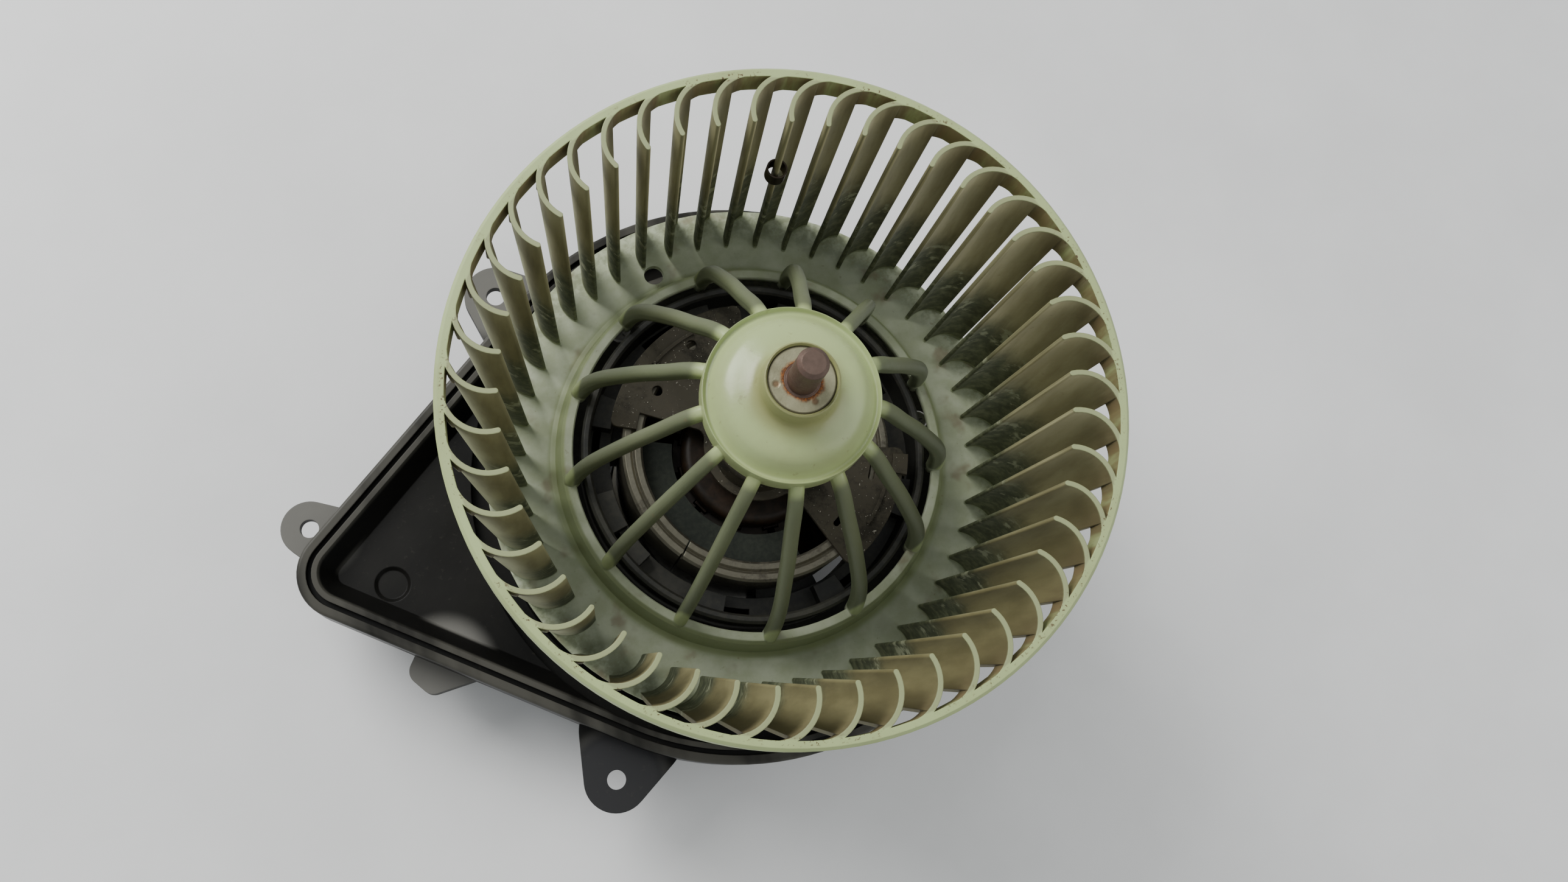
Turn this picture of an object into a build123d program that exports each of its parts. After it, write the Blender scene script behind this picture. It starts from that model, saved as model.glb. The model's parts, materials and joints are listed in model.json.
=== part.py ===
from build123d import *
from math import asin, atan2, cos, degrees, radians, sin
import os

# Blower of a vehicle cabin heater: an open squirrel-cage wheel on the shaft of a brushed DC motor,
# carried by a teardrop mounting plate. Millimetres, +Z along the fan axis towards the inlet.
# The origin is the centre of the motor's rear face, and the teardrop's point lies towards -X.
# Pieces that touch share a face exactly; pieces of different bodies keep a running clearance.

# ---- driving dimensions ----------------------------------------------------------------------
RIM_TOP = 135.0                # inlet plane of the wheel
RIM_R, RIM_WALL, RIM_H = 80.0, 2.3, 7.0
BLADES = 47
BLADE_FIRST_AZ = -10.1         # azimuth of the first blade's inner edge
BLADE_TWIST = 1.1              # the inlet end leads the foot by this many degrees
BLADE_T = 1.2
BLADE_ARC_TOP = (68.75, 9.65)  # arc at the inlet: radius of its centre from the axis, arc radius
BLADE_ARC_FOOT = (63.3, 8.3)   # the same at the disc
BLADE_ROOT, BLADE_TIP = 27.0, 106.5   # where on its arc a blade starts and ends, in degrees
DISC_R, DISC_T, DISC_TOP = 71.7, 2.0, 64.2
EYE_R, COLLAR_TOP = 48.7, 73.1
BALANCE_HOLE = (58.2, 102.8, 2.7)   # radius from the axis, azimuth, hole radius
SPOKES, SPOKE_FIRST_AZ, SPOKE_W, SPOKE_D = 13, 120.2, 3.5, 4.4
HUB_R = 21.1
BOSS_R, BUSH_R, BUSH_FOOT, BUSH_TOP = 8.4, 7.9, 119.0, 144.6

SHAFT_R, SEAT_R, JOURNAL_R = 3.6, 4.2, 4.0     # exposed end, seat in the bush, running surface
SHAFT_FOOT, SHAFT_TIP = 3.6, 158.5

CAN_R, CAN_WALL, CAN_FOOT, CAN_TOP = 36.0, 2.0, 12.0, 76.0
MAGNET_IN_R, MAGNET_FOOT, MAGNET_TOP = 22.4, 24.0, 70.0
MAGNET_AZ = 39.2               # the windows of the end plate face the magnets
CORE_R, CORE_FOOT, CORE_TOP, SLOTS = 21.7, 35.0, 63.0, 12
COMM_R, COMM_FOOT, COMM_TOP = 11.0, 16.0, 25.0
CARD_FOOT, CARD_TOP = 12.5, 15.5
BRUSH_W, BRUSH_GAP, BRUSH_END = 6.0, 0.1, 22.0
BOX_IN, BOX_OUT, BOX_START, BOX_BACK, BOX_END = 6.2, 8.0, 13.4, 29.1, 30.0
BRUSH_Z = 19.6

PLATE_TOP, PLATE_FOOT = 40.0, 26.0
ROUND_R = 82.4                 # round end of the teardrop
POINT_R, POINT_X = 13.1, -113.1   # rounded point of the teardrop and its centre
WELL_R, WELL_FLOOR, TRAY_FLOOR, FLOOR_T = 76.9, 29.0, 33.0, 2.4
CONE_FOOT_R, CONE_TOP_R, CONE_TOP = 70.0, 54.5, 55.0
HOLDER_BORE_R = 46.7           # hole in the plate for the motor holder
EAR_FOOT, EAR_T = 30.0, 3.0
EARS = {                       # centre, outer radius, hole radius
    "point": ((-120.7, 15.4), 7.8, 2.55),
    "lower": ((-55.3, -74.2), 9.1, 2.7),
    "upper": ((-55.3, 70.6), 9.1, 2.7),
    "far": ((91.2, 0.0), 9.1, 2.7),
}

HOLDER_R, HOLDER_WALL, HOLDER_TOP, HOLDER_FOOT = 46.6, 2.4, 73.5, 40.0
GRIP_IN_R, GRIP_OUT_R, SHELF_FOOT, SHELF_TOP = 38.6, 40.6, 60.0, 62.5
HOLDER_SCREW_R = 50.6

os.makedirs("parts", exist_ok=True)


# ---- helpers ---------------------------------------------------------------------------------
def polar(radius, azimuth):
    """Point in the plane at a radius and an azimuth in degrees."""
    return radius * cos(radians(azimuth)), radius * sin(radians(azimuth))


def ring(inner, outer, foot, top):
    """Adds a plain ring about the axis to the part in hand."""
    with BuildSketch(Plane.XY.offset(foot)) as drawn:
        Circle(outer)
        Circle(inner, mode=Mode.SUBTRACT)
    extrude(drawn.sketch, amount=top - foot)


def disc(radius, foot, top, mode=Mode.ADD):
    """Adds or cuts a plain disc about the axis."""
    with BuildSketch(Plane.XY.offset(foot)) as drawn:
        Circle(radius)
    extrude(drawn.sketch, amount=top - foot, mode=mode)


def turned(points, mode=Mode.ADD):
    """Turns a closed outline of (radius, height) points about the axis."""
    with BuildSketch(Plane.XZ) as drawn:
        with BuildLine() as outline:
            Polyline(*points, close=True)
        make_face(outline.edges())
    revolve(drawn.sketch, axis=Axis.Z, mode=mode)


def sector(inner, outer, middle, span):
    """Sketches a sector of a ring, centred on an azimuth."""
    first, last = middle - span / 2, middle + span / 2
    with BuildLine() as outline:
        CenterArc((0, 0), outer, first, span)
        CenterArc((0, 0), inner, first, span)
        Line(polar(inner, first), polar(outer, first))
        Line(polar(inner, last), polar(outer, last))
    make_face(outline.edges())


def sector_block(inner, outer, middle, span, foot, top, mode=Mode.ADD):
    """Adds or cuts a sector of a ring with a foot and a top."""
    with BuildSketch(Plane.XY.offset(foot)) as drawn:
        sector(inner, outer, middle, span)
    extrude(drawn.sketch, amount=top - foot, mode=mode)


def block(x, y, z, mode=Mode.ADD):
    """Adds or cuts a box given by its (low, high) limits along each axis."""
    with BuildSketch(Plane.XY.offset(z[0])) as drawn:
        with Locations(((x[0] + x[1]) / 2, (y[0] + y[1]) / 2)):
            Rectangle(x[1] - x[0], y[1] - y[0])
    extrude(drawn.sketch, amount=z[1] - z[0], mode=mode)


# ---- fan wheel -------------------------------------------------------------------------------
def blade_section(arc, tip_az, first, last):
    """Sketches a strip bent to an arc, from one turn on the arc to another, with a rounded inner edge."""
    centre_r, arc_r = arc
    lead = degrees(atan2(arc_r * sin(radians(BLADE_TIP)), centre_r + arc_r * cos(radians(BLADE_TIP))))
    centre_az = tip_az - lead
    centre = Vector(*polar(centre_r, centre_az))

    def on_arc(radius, turn):
        return centre + Vector(*polar(radius, centre_az + turn))

    outer, inner, middle = arc_r + BLADE_T / 2, arc_r - BLADE_T / 2, (first + last) / 2
    nose = on_arc(arc_r, last + degrees(BLADE_T / 2 / arc_r))
    with BuildLine() as outline:
        ThreePointArc(on_arc(outer, first), on_arc(outer, middle), on_arc(outer, last))
        ThreePointArc(on_arc(outer, last), nose, on_arc(inner, last))
        ThreePointArc(on_arc(inner, last), on_arc(inner, middle), on_arc(inner, first))
        Line(on_arc(inner, first), on_arc(outer, first))
    make_face(outline.edges())


FOOT_SINK = 0.8                # how far a blade's foot runs into the disc
LOBE_END = 42.0                # the rim's part of the arc reaches this far along it
with BuildPart() as blade:
    with BuildSketch(Plane.XY.offset(DISC_TOP - FOOT_SINK)):
        blade_section(BLADE_ARC_FOOT, BLADE_FIRST_AZ - BLADE_TWIST / 2, BLADE_ROOT, BLADE_TIP)
    with BuildSketch(Plane.XY.offset(RIM_TOP)):
        blade_section(BLADE_ARC_TOP, BLADE_FIRST_AZ + BLADE_TWIST / 2, BLADE_ROOT, BLADE_TIP)
    loft(ruled=True)

# Within the rim's height the arc runs on until it lies along the rim's wall.
with BuildPart() as lobe:
    with BuildSketch(Plane.XY.offset(RIM_TOP - RIM_H)):
        blade_section(BLADE_ARC_TOP, BLADE_FIRST_AZ + BLADE_TWIST / 2, 0.0, LOBE_END)
    extrude(amount=RIM_H)

SPOKE_PATH = (                 # (radius, height below the inlet plane) of a spoke's middle line
    (19.0, 6.8), (22.6, 9.2), (28.5, 17.2), (34.2, 25.0), (39.6, 33.6),
    (44.2, 42.0), (46.9, 49.5), (48.6, 57.0), (49.9, 65.5),
)
with BuildPart() as spoke:
    with BuildLine(Plane.XZ) as spoke_line:
        Spline(*[(r, RIM_TOP - drop) for r, drop in SPOKE_PATH])
    with BuildSketch(Plane(spoke_line.line @ 0, x_dir=(0, 1, 0), z_dir=spoke_line.line % 0)):
        RectangleRounded(SPOKE_W, SPOKE_D, SPOKE_W / 2 - 0.2)
    sweep()

with BuildPart() as fan_wheel:
    # Rim with its outer edges broken; the blades end flush with its top.
    turned((
        (RIM_R - RIM_WALL, RIM_TOP - RIM_H), (RIM_R - 0.5, RIM_TOP - RIM_H), (RIM_R, RIM_TOP - RIM_H + 0.5),
        (RIM_R, RIM_TOP - 0.7), (RIM_R - 0.7, RIM_TOP), (RIM_R - RIM_WALL, RIM_TOP),
    ))
    # Back disc with its raised collar round the eye.
    with BuildSketch(Plane.XZ):
        with BuildLine():
            Polyline(
                (DISC_R, DISC_TOP - DISC_T), (DISC_R, DISC_TOP), (54.6, DISC_TOP),
                (53.2, DISC_TOP + 0.6), (51.9, COLLAR_TOP - 1.2), (51.0, COLLAR_TOP),
                (EYE_R + 0.3, COLLAR_TOP), (EYE_R, COLLAR_TOP - 0.4), (EYE_R, COLLAR_TOP - 1.6),
                (49.9, COLLAR_TOP - 2.4), (51.4, DISC_TOP - 1.0), (52.8, DISC_TOP - DISC_T), close=True,
            )
        make_face()
    revolve(axis=Axis.Z)
    with BuildSketch(Plane.XY.offset(DISC_TOP - DISC_T)):
        with Locations(polar(BALANCE_HOLE[0], BALANCE_HOLE[1])):
            Circle(BALANCE_HOLE[2])
    extrude(amount=DISC_T, mode=Mode.SUBTRACT)
    # Hub: a smooth dome with a raised boss round the bush, hollow underneath.
    with BuildSketch(Plane.XZ):
        with BuildLine():
            boss = Polyline((BUSH_R, RIM_TOP - 16), (BUSH_R, RIM_TOP + 9.6), (BOSS_R - 0.1, RIM_TOP + 10.2),
                            (BOSS_R + 0.3, RIM_TOP + 9.8), (BOSS_R + 0.5, RIM_TOP + 5.2))
            Spline(boss @ 1, (9.9, RIM_TOP + 2.9), (13.2, RIM_TOP + 1.4), (17.2, RIM_TOP - 0.8),
                   (20.1, RIM_TOP - 3.9), (HUB_R, RIM_TOP - 8.4), tangents=[(0, -1), (0, -1)])
            Polyline((HUB_R, RIM_TOP - 8.4), (HUB_R - 2.2, RIM_TOP - 8.4), (HUB_R - 2.6, RIM_TOP - 5.6),
                     (15.9, RIM_TOP - 2.8), (12.4, RIM_TOP - 1.4), (10.6, RIM_TOP - 3.0),
                     (10.2, RIM_TOP - 16), (BUSH_R, RIM_TOP - 16))
        make_face()
    revolve(axis=Axis.Z)
    with PolarLocations(0, SPOKES, start_angle=SPOKE_FIRST_AZ):
        add(spoke.part)
    with PolarLocations(0, BLADES):
        add(blade.part)
        add(lobe.part)

with BuildPart() as hub_bush:
    turned((
        (SEAT_R, BUSH_FOOT), (BUSH_R, BUSH_FOOT), (BUSH_R, BUSH_TOP - 0.4), (BUSH_R - 0.4, BUSH_TOP),
        (SEAT_R, BUSH_TOP),
    ))

# Small open ring of spring strip pushed over the inner edge of one blade to balance the wheel.
CLIP_AZ, CLIP_R, CLIP_Z, CLIP_H = 74.37, 65.34, 107.4, 4.4
CLIP_OUT_R, CLIP_T = 2.7, 0.45
with BuildPart() as balance_clip:
    with BuildSketch(Plane.XY.offset(CLIP_Z - CLIP_H / 2)):
        with Locations(polar(CLIP_R, CLIP_AZ)):
            Circle(CLIP_OUT_R)
            Circle(CLIP_OUT_R - CLIP_T, mode=Mode.SUBTRACT)
    extrude(amount=CLIP_H)
    # The ring's two ends stop at the faces of the blade.
    with PolarLocations(0, BLADES):
        add(blade.part, mode=Mode.SUBTRACT)

# ---- shaft and armature ----------------------------------------------------------------------
with BuildPart() as motor_shaft:
    turned((
        (0, SHAFT_FOOT), (JOURNAL_R - 0.4, SHAFT_FOOT), (JOURNAL_R, SHAFT_FOOT + 0.4), (JOURNAL_R, BUSH_FOOT),
        (SEAT_R, BUSH_FOOT), (SEAT_R, BUSH_TOP), (SHAFT_R, BUSH_TOP), (SHAFT_R, SHAFT_TIP - 0.9),
        (SHAFT_R - 0.9, SHAFT_TIP), (0, SHAFT_TIP),
    ))

SLOT_INNER_R, SLOT_OUTER_R, SLOT_W, SLOT_MOUTH = 12.0, 20.4, 4.6, 2.0
with BuildPart() as armature_core:
    disc(CORE_R, CORE_FOOT, CORE_TOP)
    with BuildSketch(Plane.XY.offset(CORE_FOOT)):
        Circle(JOURNAL_R)
        with PolarLocations((SLOT_INNER_R + SLOT_OUTER_R) / 2, SLOTS):
            Rectangle(SLOT_OUTER_R - SLOT_INNER_R, SLOT_W)
        with PolarLocations(CORE_R, SLOTS):
            Rectangle(4.0, SLOT_MOUTH)
    extrude(amount=CORE_TOP - CORE_FOOT, mode=Mode.SUBTRACT)

# Twelve coils lie in the slots and join at both ends in rounded end turns.
WIRE_GAP, TURNS_IN_R, TURNS_OUT_R = 0.3, 8.4, 19.8
FRONT_TURNS_TOP, REAR_TURNS_FOOT = 71.0, 28.5
with BuildPart() as armature_windings:
    for low, high in ((CORE_TOP, FRONT_TURNS_TOP), (REAR_TURNS_FOOT, CORE_FOOT)):
        with BuildSketch(Plane.XZ):
            with Locations(((TURNS_IN_R + TURNS_OUT_R) / 2, (low + high) / 2)):
                RectangleRounded(TURNS_OUT_R - TURNS_IN_R, high - low, 2.4)
        revolve(axis=Axis.Z)
    with BuildSketch(Plane.XY.offset(CORE_FOOT - 1.0)):
        with PolarLocations((SLOT_INNER_R + SLOT_OUTER_R) / 2, SLOTS):
            Rectangle(SLOT_OUTER_R - SLOT_INNER_R - 2 * WIRE_GAP, SLOT_W - 2 * WIRE_GAP)
    extrude(amount=CORE_TOP - CORE_FOOT + 2.0)

COMM_BORE_R, BAR_GAP, RISER_R, RISER_H = 6.0, 0.6, 12.4, 1.8
with BuildPart() as commutator_core:
    ring(JOURNAL_R, COMM_BORE_R, COMM_FOOT - 1.0, COMM_TOP + RISER_H)
    ring(JOURNAL_R, 5.4, 12.6, COMM_FOOT - 1.0)

with BuildPart() as commutator_bars:
    ring(COMM_BORE_R, COMM_R, COMM_FOOT, COMM_TOP)
    ring(COMM_BORE_R, RISER_R, COMM_TOP, COMM_TOP + RISER_H)
    with BuildSketch(Plane.XY.offset(COMM_FOOT)):
        with PolarLocations(RISER_R / 2 + 2, SLOTS, start_angle=180 / SLOTS):
            Rectangle(RISER_R, BAR_GAP)
    extrude(amount=COMM_TOP + RISER_H - COMM_FOOT, mode=Mode.SUBTRACT)

with BuildPart() as thrust_washers:
    ring(JOURNAL_R, 6.4, 77.4, 78.1)
    ring(JOURNAL_R, 5.6, 11.9, 12.6)

with BuildPart() as thrust_collar:
    ring(JOURNAL_R, 6.0, 71.6, 77.4)

# ---- motor: yoke, magnets, end plate and bearings --------------------------------------------
BEAD_IN_R, BEAD_H, BEAD_GROOVE_R = 30.6, 2.2, 33.3
SEAM_AZ, SEAM_W, SEAM_LEAN = 220.0, 0.4, 9.2
with BuildPart() as motor_can:
    ring(CAN_R - CAN_WALL, CAN_R, CAN_FOOT, CAN_TOP - BEAD_H)
    # Front rim rolled inwards, with a groove pressed into it.
    turned((
        (BEAD_IN_R, CAN_TOP - BEAD_H), (CAN_R, CAN_TOP - BEAD_H), (CAN_R, CAN_TOP - 0.7),
        (CAN_R - 0.7, CAN_TOP),
        (BEAD_GROOVE_R + 0.6, CAN_TOP), (BEAD_GROOVE_R, CAN_TOP - 0.8), (BEAD_GROOVE_R - 0.7, CAN_TOP - 0.1),
        (BEAD_IN_R + 0.6, CAN_TOP - 0.1), (BEAD_IN_R, CAN_TOP - 0.7),
    ))
    # Seam where the rolled strip meets itself: a groove down the wall and a slit across the rim.
    with BuildSketch(Plane.XY.offset(CAN_FOOT)):
        with PolarLocations(CAN_R + 1.0, 1, start_angle=SEAM_AZ):
            Rectangle(4.0, SEAM_W)
    extrude(amount=CAN_TOP - CAN_FOOT, mode=Mode.SUBTRACT)
    with BuildSketch(Plane.XY.offset(CAN_TOP - BEAD_H)):
        with PolarLocations((BEAD_IN_R + CAN_R) / 2, 1, start_angle=SEAM_AZ):
            Rectangle(CAN_R - BEAD_IN_R + 2.0, SEAM_W, rotation=SEAM_LEAN)
    extrude(amount=BEAD_H, mode=Mode.SUBTRACT)

MAGNET_SPAN = 118.0
with BuildPart() as magnets:
    for middle in (MAGNET_AZ, MAGNET_AZ + 180):
        sector_block(MAGNET_IN_R, CAN_R - CAN_WALL, middle, MAGNET_SPAN, MAGNET_FOOT, MAGNET_TOP)

CLIP_SPAN = 180 - MAGNET_SPAN
with BuildPart() as magnet_springs:
    for middle in (MAGNET_AZ + 90, MAGNET_AZ - 90):
        sector_block(CAN_R - CAN_WALL - 1.0, CAN_R - CAN_WALL, middle, CLIP_SPAN, 28.0, 66.0)
        for side in (-1, 1):
            sector_block(26.0, CAN_R - CAN_WALL - 1.0, middle + side * (CLIP_SPAN / 2 - 1.0), 2.0, 28.0, 66.0)

# Stamped strap across the front of the can; its two arms leave the magnets in view between them.
STRAP_T, CUP_R, CUP_WALL, CUP_TOP, CUP_HOLE_R = 1.4, 12.2, 1.4, 88.0, 5.2
WINDOW_IN_R = 14.5
ARMS = ((116.0, 68.0), (319.0, 54.0))               # middle azimuth and span
WINDOW_OUT_R, FLANGE_R = 32.6, 39.6
FLANGES = ((120.0, 76.0), (319.0, 54.0))            # the arms' outer ends, middle azimuth and span
STRAP_HOLES = ((32.8, 108.0, 1.4), (30.6, 136.6, 1.4), (24.0, 98.0, 1.2))   # radius, azimuth, hole radius
STRAP_SLOTS = ((29.0, 300.5, 4.0), (31.4, 330.8, 5.6))   # radius, first azimuth, span
LUG_AZ, LUG_SPAN, LUG_IN_R, LUG_OUT_R, LUG_H = 339.0, 8.0, 36.4, 40.6, 1.2
with BuildPart() as end_plate:
    with BuildSketch(Plane.XY.offset(CAN_TOP)) as strap:
        Circle(WINDOW_IN_R)
        for middle, span in ARMS:
            sector(WINDOW_IN_R - 2.0, FLANGE_R, middle, span)
        for middle, span in FLANGES:
            sector(WINDOW_OUT_R, FLANGE_R, middle, span)
        for group, reach, radius in ((ARMS, WINDOW_IN_R, 2.6), (FLANGES, FLANGE_R, 2.0)):
            sides = [middle + side * span / 2 for middle, span in group for side in (-1, 1)]
            corners = [strap.vertices().sort_by_distance(polar(reach, azimuth))[0] for azimuth in sides]
            fillet(corners, radius)
    extrude(amount=STRAP_T)
    sector_block(LUG_IN_R, LUG_OUT_R, LUG_AZ, LUG_SPAN, CAN_TOP, CAN_TOP + STRAP_T + LUG_H)
    # Raised edge pressed along the outside of each arm.
    for middle, span in ARMS:
        sector_block(35.0, 36.0, middle, span / 3, CAN_TOP + STRAP_T - 0.2, CAN_TOP + STRAP_T + 0.7)
    disc(CUP_R, CAN_TOP, CUP_TOP)
    fillet(end_plate.edges().filter_by(GeomType.CIRCLE).sort_by(Axis.Z)[-1], 1.6)
    disc(CUP_R - CUP_WALL, CAN_TOP, CUP_TOP - CUP_WALL, mode=Mode.SUBTRACT)
    disc(CUP_HOLE_R, CAN_TOP, CUP_TOP, mode=Mode.SUBTRACT)
    for radius, azimuth, hole in STRAP_HOLES:
        with BuildSketch(Plane.XY.offset(CAN_TOP)):
            with Locations(polar(radius, azimuth)):
                Circle(hole)
        extrude(amount=STRAP_T, mode=Mode.SUBTRACT)
    for radius, azimuth, span in STRAP_SLOTS:
        with BuildSketch(Plane.XY.offset(CAN_TOP)):
            SlotArc(CenterArc((0, 0), radius, azimuth, span), 1.6)
        extrude(amount=STRAP_T, mode=Mode.SUBTRACT)

BEARING_R, BEARING_BORE_R, BEARING_H = 7.6, JOURNAL_R + 0.05, 7.0
FRONT_BEARING_Z, REAR_BEARING_Z = 82.4, 7.2


def bearing_profile(z):
    """Outline of a ball-shaped plain bearing centred on a height."""
    flat = (BEARING_R**2 - (BEARING_H / 2) ** 2) ** 0.5
    with BuildSketch(Plane.XZ) as drawn:
        with BuildLine() as outline:
            ThreePointArc((flat, z - BEARING_H / 2), (BEARING_R, z), (flat, z + BEARING_H / 2))
            Polyline(
                (flat, z + BEARING_H / 2), (BEARING_BORE_R, z + BEARING_H / 2),
                (BEARING_BORE_R, z - BEARING_H / 2), (flat, z - BEARING_H / 2),
            )
        make_face(outline.edges())
    revolve(drawn.sketch, axis=Axis.Z)


with BuildPart() as front_bearing:
    bearing_profile(FRONT_BEARING_Z)

with BuildPart() as rear_bearing:
    bearing_profile(REAR_BEARING_Z)

FELT_IN_R, FELT_H = 7.7, 3.6
with BuildPart() as front_oil_felt:
    ring(FELT_IN_R, CUP_R - CUP_WALL, FRONT_BEARING_Z - FELT_H / 2, FRONT_BEARING_Z + FELT_H / 2)

CRADLE_R, CRADLE_WALL = 11.0, 1.6
with BuildPart() as rear_oil_felt:
    ring(FELT_IN_R, CRADLE_R, REAR_BEARING_Z - FELT_H / 2, REAR_BEARING_Z + FELT_H / 2)


def bearing_spring(outer, foot, fingers=6):
    """Spring washer whose fingers press on a bearing's shoulder."""
    thickness = 0.5
    ring(5.2, outer, foot, foot + thickness)
    with BuildSketch(Plane.XY.offset(foot)) as drawn:
        with PolarLocations(6.8, fingers):
            Rectangle(3.4, 1.1)
    extrude(drawn.sketch, amount=thickness, mode=Mode.SUBTRACT)


with BuildPart() as front_bearing_spring:
    bearing_spring(CUP_R - CUP_WALL, FRONT_BEARING_Z - BEARING_H / 2 - 0.5)

with BuildPart() as rear_bearing_spring:
    bearing_spring(CRADLE_R, REAR_BEARING_Z + BEARING_H / 2)

# ---- brush gear ------------------------------------------------------------------------------
with BuildPart() as brush_card:
    ring(COMM_R + 2.2, CAN_R - CAN_WALL, CARD_FOOT, CARD_TOP)
    for side in (-1, 1):
        block((side * 33 - 1.5, side * 33 + 1.5), (-6.0, 6.0), (CARD_FOOT, CARD_TOP), mode=Mode.SUBTRACT)


def brush_box_at(side):
    """Square brass tube that guides a brush, closed at its outer end."""
    half_in, half_out = BOX_IN / 2, BOX_OUT / 2
    start, end = sorted((side * BOX_START, side * BOX_END))
    bore = sorted((side * BOX_START, side * BOX_BACK))
    block((start, end), (-half_out, half_out), (CARD_TOP, BRUSH_Z + half_out))
    block(bore, (-half_in, half_in), (BRUSH_Z - half_in, BRUSH_Z + half_in), mode=Mode.SUBTRACT)


with BuildPart() as brush_boxes:
    brush_box_at(1)
    brush_box_at(-1)


def brush_at(side):
    """Carbon brush whose inner face is hollowed to the commutator's curve."""
    low, high = sorted((0.0, side * BRUSH_END))
    half = BRUSH_W / 2
    block((low, high), (-half, half), (BRUSH_Z - half, BRUSH_Z + half))
    disc(COMM_R + BRUSH_GAP, BRUSH_Z - half, BRUSH_Z + half, mode=Mode.SUBTRACT)


with BuildPart() as brush_a:
    brush_at(1)

with BuildPart() as brush_b:
    brush_at(-1)


def brush_spring_at(side):
    """Outer shape of the compression spring behind a brush."""
    with BuildSketch(Plane.YZ.offset(side * BRUSH_END)) as drawn:
        with Locations((0, BRUSH_Z)):
            Circle(2.5)
            Circle(1.7, mode=Mode.SUBTRACT)
    extrude(drawn.sketch, amount=side * (BOX_BACK - BRUSH_END))


with BuildPart() as brush_spring_a:
    brush_spring_at(1)

with BuildPart() as brush_spring_b:
    brush_spring_at(-1)

CHOKE_Y, CHOKE_Z, CHOKE_LEN, CHOKE_CORE_R, CHOKE_COIL_R = 23.0, 19.0, 16.0, 1.8, 3.2
with BuildPart() as choke_cores:
    for side in (-1, 1):
        with BuildSketch(Plane.YZ.offset(-CHOKE_LEN / 2 - 1)):
            with Locations((side * CHOKE_Y, CHOKE_Z)):
                Circle(CHOKE_CORE_R)
        extrude(amount=CHOKE_LEN + 2)

with BuildPart() as choke_coils:
    for side in (-1, 1):
        with BuildSketch(Plane.YZ.offset(-CHOKE_LEN / 2)):
            with Locations((side * CHOKE_Y, CHOKE_Z)):
                Circle(CHOKE_COIL_R)
                Circle(CHOKE_CORE_R, mode=Mode.SUBTRACT)
        extrude(amount=CHOKE_LEN)

# ---- rear cap, connector and terminals -------------------------------------------------------
CAP_R, CAP_BASE_T, CAP_WALL_IN_R = 36.6, 3.0, 31.0
SOCKET_X, SOCKET_END_X, SOCKET_Y, SOCKET_Z = -57.0, -43.5, (-11.0, 11.0), (1.0, 12.0)
SOCKET_WALL = 1.5
with BuildPart() as rear_cap:
    disc(CAP_R, 0, CAN_FOOT)
    chamfer(rear_cap.edges().sort_by(Axis.Z)[0], 0.8)
    block((SOCKET_X, -CAP_R + 2.6), SOCKET_Y, SOCKET_Z)
    disc(CAP_WALL_IN_R, CAP_BASE_T, CAN_FOOT, mode=Mode.SUBTRACT)
    ring(CAP_WALL_IN_R, CAN_R - CAN_WALL - 0.1, CAN_FOOT, CARD_FOOT)
    ring(CRADLE_R, CRADLE_R + CRADLE_WALL, CAP_BASE_T, REAR_BEARING_Z + BEARING_H / 2 + 0.5)
    block(
        (SOCKET_X, SOCKET_END_X),
        (SOCKET_Y[0] + SOCKET_WALL, SOCKET_Y[1] - SOCKET_WALL),
        (SOCKET_Z[0] + SOCKET_WALL, SOCKET_Z[1] - SOCKET_WALL),
        mode=Mode.SUBTRACT,
    )
    BLADE_TAG_Y, TAG_T, TAG_Z = 5.2, 0.8, (3.4, 9.7)
    for side in (-1, 1):
        across = (side * BLADE_TAG_Y - TAG_T / 2, side * BLADE_TAG_Y + TAG_T / 2)
        block((SOCKET_END_X, -CAP_WALL_IN_R + 1), across, TAG_Z, mode=Mode.SUBTRACT)
    # Latch nose for the plug on top of the socket.
    block((SOCKET_X + 2.0, SOCKET_X + 5.0), (-3.0, 3.0), (SOCKET_Z[1], SOCKET_Z[1] + 1.2))

with BuildPart() as terminals:
    for side in (-1, 1):
        across = (side * BLADE_TAG_Y - TAG_T / 2, side * BLADE_TAG_Y + TAG_T / 2)
        block((SOCKET_X + 3.0, -28.0), across, TAG_Z)

with BuildPart() as thrust_button:
    disc(2.6, CAP_BASE_T, SHAFT_FOOT - 0.05)

# ---- mounting plate --------------------------------------------------------------------------
def teardrop(inset, mode=Mode.ADD):
    """Sketches the plate's outline, moved inwards by an inset."""
    big, small = ROUND_R - inset, POINT_R - inset
    lean = degrees(asin((big - small) / -POINT_X))
    with BuildLine() as outline:
        CenterArc((0, 0), big, 90 + lean, -2 * (90 + lean))
        upper_round, lower_round = polar(big, 90 + lean), polar(big, -90 - lean)
        upper_point = (POINT_X + small * cos(radians(90 + lean)), small * sin(radians(90 + lean)))
        lower_point = (upper_point[0], -upper_point[1])
        Line(upper_round, upper_point)
        ThreePointArc(upper_point, (POINT_X - small, 0), lower_point)
        Line(lower_point, lower_round)
    make_face(outline.edges(), mode=mode)


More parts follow.
